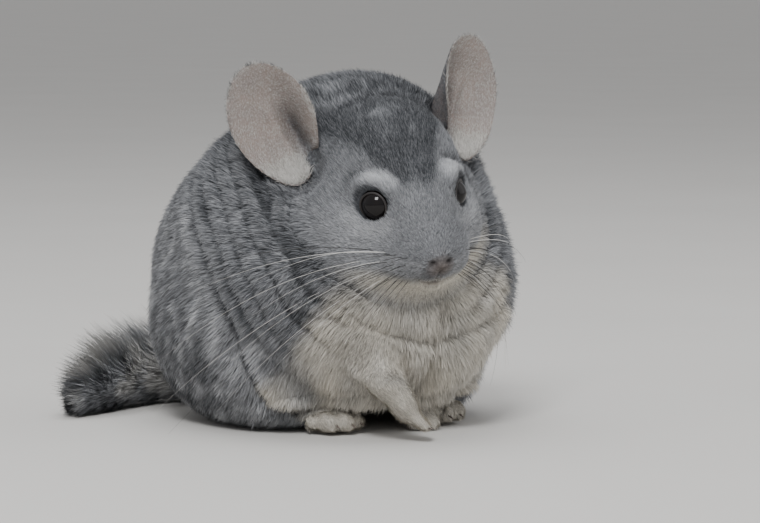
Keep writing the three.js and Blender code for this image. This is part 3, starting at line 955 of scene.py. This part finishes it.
def grow_tail_brush(surface):
    """The tail's long coarse hair: low and back along it, standing up on its upper side."""
    line = smooth_line(TAIL_LINE, 200)
    count = int(TUFTS["tail"] * TUFT_SHARE)
    t = rng.uniform(0.16, 1.0, count)
    spot = along_line(line, t)
    heading = unit(along_line(line, t + 0.01) - along_line(line, t - 0.01))
    radius = tail_radius(t)
    angle = rng.uniform(-2.6, 2.6, count)
    side = unit(np.cross(heading, [0, 0, 1.0]))
    up = np.cross(side, heading)
    normal = up * np.cos(angle)[:, None] + side * np.sin(angle)[:, None]
    spot[:, 2] = radius + 1
    roots = spot + normal * (radius * 0.8)[:, None]
    upper = np.clip(np.cos(angle), 0, 1)
    full = np.sin(math.pi * np.minimum(1, 0.22 + 0.62 * t))
    long_ones = rng.random(count) < 0.35
    length = 9 + 4 * rng.random(count)
    length += long_ones * 20 * upper * full * rng.uniform(0.6, 1.1, count)
    lift = np.radians(12 + 50 * upper * full * np.where(long_ones, 1, 0.45)
                      + 6 * rng.normal(size=count)) * step(1.1, 0.8, t)
    clump = np.stack([ripple(roots, 7, seed) for seed in (31, 32, 33)], 1)
    way = unit(heading + 0.16 * clump + 0.06 * rng.normal(size=(count, 3)))
    low = step(11, 4, roots[:, 2])
    streak = ripple(roots * [1, 1, 0.25], 6, 34)
    dark = np.clip(0.02 + 0.6 * low + 0.25 * streak * (1 - low) + 0.1 * long_ones, 0, 1)
    silver = np.clip((0.62 - 0.35 * streak) * (1 - 0.8 * low), 0, 1)
    marks = np.stack([dark, silver, 0.3 * (1 - low) * (streak < 0)], 1)
    width = np.where(long_ones, 0.42, 0.38)
    grow_tufts("coat_tail", surface, roots, normal, length, lift, width, way, marks,
               spot.mean(0), "tail_hair", curve=0.35)


# Ears, eyes, whiskers and claws
def ear_hollow(u, v):
    """The deep hollow behind the ear's front fold."""
    return bell(-u - 0.34 + 0.16 * v, 0.18) * step(0.35, -0.15, v)


def ear_front_edge(u, v):
    """The front edge of the ear, above its foot."""
    return step(0.72, 0.98, -u) * step(0.75, 0.2, v)


def build_ear(name, side, ear_surface, coat_surface):
    """An ear's leaf, from its solid, with its hollow and ridges, and its down."""
    start = taken(merged_nodes([f"ear_{name}"]), "ear_start")
    mesh = applied(f"ear_leaf_{name}", start,
                   ("SMOOTH", {"factor": 0.5, "iterations": 2}),
                   ("SUBSURF", {"levels": 2, "render_levels": 2}))
    p = points_of(mesh)
    world_facing = HEAD_TURN @ ear_frame(side)[3]
    u, v, _ = ear_place(in_head(p), side)
    inward = -u
    # The hollow, the ridge beside it, a faint rib and the front edge folded forward
    hollow = ear_hollow(u, v) * step(-0.98, -0.8, v)
    ridge = bell(inward - 0.02 + 0.2 * v, 0.13) * step(0.5, 0.1, v) * step(-0.95, -0.6, v)
    rib = bell(inward + 0.35, 0.1) * step(0.3, -0.1, v) * step(-0.8, -0.4, v)
    flap = step(0.5, 0.85, inward) * step(0.7, 0.1, v)
    relief = -3.2 * hollow + 1.5 * ridge + 0.5 * rib + 2.2 * flap
    waver = 0.5 * ripple(p, 16, 51)
    p = p + world_facing * (relief + waver)[:, None]
    put_points(mesh, p)
    n = normals_of(mesh)
    outline = np.hypot(u, v)
    front = step(0, 0.3, n @ world_facing)
    back = step(0.1, -0.3, n @ world_facing)
    # The hollow's mask on the front side carries painted shade
    masks = np.stack([step(0.88, 0.98, outline), hollow * front, back], 1)
    colour_attribute(mesh, "ear", np.clip(masks, 0, 1))
    finish_piece(f"ear_leaf_{name}", mesh, ear_surface, "ear_skin", [f"ear_{name}"])
    # Fine down all over, long pale hair at the foot and along the front edge
    coat = Coat(mesh, p, n)
    uc, vc, _ = ear_place(in_head(coat.middle), side)
    foot = step(-0.35, -0.85, vc)
    count = int(TUFTS["ear"] * TUFT_SHARE)
    roots, normal = coat.roots(0.5 + 1.2 * foot + 1.2 * ear_front_edge(uc, vc), count)
    ur, vr, _ = ear_place(in_head(roots), side)
    foot = step(-0.35, -0.9, vr)
    lead = ear_front_edge(ur, vr)
    edge = step(0.88, 1.0, np.hypot(ur, vr))
    way = np.tile(HEAD_TURN @ ear_frame(side)[2], (count, 1))
    way = way + 0.45 * rng.normal(size=way.shape)
    way -= normal * np.sum(way * normal, axis=1, keepdims=True)
    length = 1.5 + 3.8 * foot * rng.random(count) + 2.2 * lead * rng.random(count) + 0.9 * edge
    lift = np.radians(20 + 8 * foot + 10 * edge)
    is_back = step(0.1, -0.3, normal @ world_facing)
    # The down in the hollow is darker and less pale: painted shade
    hollow_shade = ear_hollow(ur, vr)
    pale = np.clip(0.42 + 0.12 * foot + 0.2 * lead + 0.15 * rng.normal(size=count), 0, 1)
    pale = pale * (1 - 0.7 * is_back) * (1 - 0.6 * hollow_shade * (1 - foot))
    dark = np.clip(0.3 + 0.45 * is_back + 0.4 * hollow_shade - 0.3 * foot, 0, 1)
    marks = np.stack([dark, pale, 0.45 * (1 - is_back) * (1 - hollow_shade)], 1)
    grow_tufts(f"coat_ear_{name}", coat_surface, roots, normal, length, lift,
               0.1 + 0.022 * length, unit(way), marks,
               coat.middle.mean(0) - 30 * world_facing, "ear_skin")


CORNEA_START, CORNEA_BULGE = 0.55, 0.9
LID_RISE, LID_RADIUS = 4.1, 0.5


def build_eye(name, side, eye_surface, rim_surface):
    """An eyeball with its bulging front, and the dark rim of its lids."""
    axis = HEAD_TURN @ unit(np.array([[0.8 * side, -0.6, 0.1]]))[0]
    at = Matrix.Translation(place(EYES[name])) @ aimed(axis)
    ball = bmesh.new()
    bmesh.ops.create_uvsphere(ball, u_segments=48, v_segments=32, radius=EYE_RADIUS * MM)
    for vert in ball.verts:
        bulge = max(0.0, vert.co.z / (EYE_RADIUS * MM) - CORNEA_START)
        vert.co.z += bulge * CORNEA_BULGE * MM
    ball.transform(at)
    mesh = taken(ball, f"eyeball_{name}")
    finish_piece(f"eyeball_{name}", mesh, eye_surface, "eye", [f"eye_{name}"])
    ring = bmesh.new()
    opening = math.sqrt(EYE_RADIUS ** 2 - LID_RISE ** 2) + 0.3
    bmesh.ops.create_circle(ring, segments=10, radius=LID_RADIUS * MM)
    upright = Matrix.Rotation(math.pi / 2, 4, "X")
    bmesh.ops.transform(ring, verts=ring.verts,
                        matrix=Matrix.Translation((opening * MM, 0, LID_RISE * MM)) @ upright)
    bmesh.ops.spin(ring, geom=ring.verts[:] + ring.edges[:], cent=(0, 0, 0), axis=(0, 0, 1),
                   angle=2 * math.pi, steps=48, use_merge=True)
    for vert in ring.verts:
        around = math.atan2(vert.co.y, vert.co.x)
        vert.co.z -= 0.25 * MM * math.cos(2 * around)
    bmesh.ops.recalc_face_normals(ring, faces=ring.faces)
    ring.transform(at)
    finish_piece(f"lid_{name}", taken(ring, f"lid_{name}"), rim_surface, "eye")


THIRDS_OF_TURN = (0, 2.094, 4.189)


def hair_tube(work, points, radius):
    """A thin tapering hair: three-sided, drawn along points and closed at both ends."""
    rings = []
    for i, spot in enumerate(points):
        ahead = points[min(i + 1, len(points) - 1)] - points[max(i - 1, 0)]
        turn = aimed(Vector(ahead).normalized())
        size = radius * (1 - 0.88 * i / (len(points) - 1))
        corners = [Vector((math.cos(a), math.sin(a), 0)) * size * MM for a in THIRDS_OF_TURN]
        rings.append([work.verts.new(Vector(place(spot)) + turn @ corner) for corner in corners])
    for low, high in zip(rings[:-1], rings[1:]):
        for k in range(3):
            work.faces.new((low[k], low[(k + 1) % 3], high[(k + 1) % 3], high[k]))
    work.faces.new(rings[0][::-1])
    work.faces.new(rings[-1])


WHISKER_ROWS, WHISKERS = 4, 7  # rows on each side, and whiskers in a row


def build_whiskers(dark_surface, pale_surface):
    """Rows of whiskers on each pad: short and dark in front, long and pale behind."""
    source = np.random.default_rng(5)
    for tone, surface, slot, radius in (("dark", dark_surface, "eye", 0.2),
                                        ("pale", pale_surface, "pale_coat", 0.16)):
        work = bmesh.new()
        for side, row, number in itertools.product((1, -1), range(WHISKER_ROWS), range(WHISKERS)):
            back = number / (WHISKERS - 1)
            pale = back > 0.6 and (number + row) % 3 != 0
            if pale != (tone == "pale"):
                continue
            start = from_head([((8.5 + 7.5 * back) * side, -46 + 9 * back,
                                -10.5 - 2.8 * row - 1.2 * back)])[0]
            size = 24 + 88 * back ** 1.15 - 4 * row * back + source.uniform(-7, 7)
            aim = np.array([side * (0.72 + 0.16 * back), -0.30 + 0.62 * back,
                            0.14 - 0.17 * row + source.uniform(-0.07, 0.07)])
            bend = np.array([-0.22 * side * back, 0.12 + 0.20 * back,
                             -0.20 - 0.14 * back + source.uniform(-0.06, 0.06)])
            t = np.linspace(0, 1, 14)[:, None]
            hair_tube(work, start + (aim * t + bend * t ** 2) * size, radius)
        bmesh.ops.recalc_face_normals(work, faces=work.faces)
        low = place([0, 0, SKIN_OVER_FLOOR])[2]
        for vert in work.verts:
            vert.co.z = max(vert.co.z, low)
        finish_piece(f"whiskers_{tone}", taken(work, f"whiskers_{tone}"), surface, slot)


def build_claws(surface):
    """Small blunt claws at the ends of the toes."""
    work = bmesh.new()
    spots = []
    for side in (1, -1):
        for aside, length in ((-7, 12), (0, 15), (7.5, 13)):
            tip = ((25 + aside * 0.9) * side, -57.5 - length, 4.2)
            spots.append((tip, (0, -0.93, -0.37), 0.9))
    for arm in (ARM_RIGHT, ARM_LEFT):
        for _, tip, heading in fingers(arm):
            spots.append((tip + heading * 1.8 - [0, 0, 0.6], heading - [0, 0, 0.5], 0.5))
    for tip, way, size in spots:
        bmesh.ops.create_cone(
            work, cap_ends=True, segments=8, radius1=0.8 * size * MM, radius2=0.15 * size * MM,
            depth=4.2 * size * MM, matrix=Matrix.Translation(place(tip)) @ aimed(way))
    finish_piece("claws", taken(work, "claws"), surface, "eye")


# The view and the studio
PIXEL = 0.43  # millimetres in the photograph's picture plane
VIEW_TURN = math.radians(-35)
VIEW_RISE = math.radians(5)
VIEW_AWAY = 1500.0
PHOTO_WIDTH = 760
PHOTO_MIDDLE = (380, 261.5)
BODY_FOOT = (332, 418.4)  # where the body's middle meets the floor in the photograph


def build_view():
    """The camera, far off, at the photograph's angle and framing."""
    right = np.array([math.cos(VIEW_TURN), math.sin(VIEW_TURN), 0])
    target = np.array([0, -20.0, 0]) + right * (PHOTO_MIDDLE[0] - BODY_FOOT[0]) * PIXEL
    target[2] += (BODY_FOOT[1] - PHOTO_MIDDLE[1]) * PIXEL / math.cos(VIEW_RISE)
    back = np.array([math.sin(VIEW_TURN) * math.cos(VIEW_RISE),
                     -math.cos(VIEW_TURN) * math.cos(VIEW_RISE), math.sin(VIEW_RISE)])
    lens = bpy.data.cameras.new("view")
    lens.sensor_width = 36
    lens.lens = lens.sensor_width * VIEW_AWAY / (PHOTO_WIDTH * PIXEL)
    camera = new_object("view", lens)
    camera.location = place(target + back * VIEW_AWAY)
    camera.rotation_euler = Vector(-back).to_track_quat("-Z", "Y").to_euler()
    bpy.context.scene.camera = camera


def build_studio():
    """A pale floor, an even sky and three soft lamps, in metres."""
    work = bmesh.new()
    bmesh.ops.create_grid(work, x_segments=8, y_segments=8, size=20.0)
    floor = new_object("floor", taken(work, "floor"))
    floor.data.materials.append(plain_material("pale_floor", rgb(0.60, 0.59, 0.57),
                                               rgb(0.56, 0.55, 0.53), 6.0, 0.9))
    world = bpy.data.worlds.new("studio")
    bpy.context.scene.world = world
    world.use_nodes = True
    sky = world.node_tree.nodes["Background"]
    sky.inputs["Color"].default_value = rgb(0.80, 0.80, 0.81)
    sky.inputs["Strength"].default_value = 0.7
    for name, spot, size, power in (("key", (-0.9, -1.0, 1.5), 0.6, 30),
                                    ("fill", (1.3, -0.9, 0.7), 1.4, 5),
                                    ("top", (0.1, 0.3, 1.8), 1.2, 14)):
        light = bpy.data.lights.new(name, "AREA")
        light.energy = power
        light.size = size
        lamp = new_object(name, light)
        lamp.location = spot
        aim = Vector((0, 0, 0.08)) - Vector(spot)
        lamp.rotation_euler = aim.to_track_quat("-Z", "Y").to_euler()


build_view()
build_studio()
coat_surface = coat_material()
ear_surface = ear_material()
eye_surface = eye_material()
rim_surface = plain_material(
    "lid_rim", rgb(0.014, 0.012, 0.012), rgb(0.03, 0.026, 0.025), 400.0, 0.5)
claw_surface = plain_material(
    "claw_horn", rgb(0.09, 0.07, 0.06), rgb(0.16, 0.13, 0.11), 500.0, 0.35)
dark_whisker = plain_material("whisker_dark", grey(0.015), rgb(0.04, 0.038, 0.035), 90.0, 0.4)
pale_whisker = plain_material(
    "whisker_pale", rgb(0.85, 0.84, 0.82), rgb(0.6, 0.58, 0.55), 60.0, 0.4)
skin, skin_points, skin_normals = build_skin(skin_material())
grow_coat(skin.data, skin_points, skin_normals, coat_surface)
grow_tail_brush(coat_surface)
for name, side in (("left", 1), ("right", -1)):
    build_ear(name, side, ear_surface, coat_surface)
    build_eye(name, side, eye_surface, rim_surface)
build_whiskers(dark_whisker, pale_whisker)
build_claws(claw_surface)
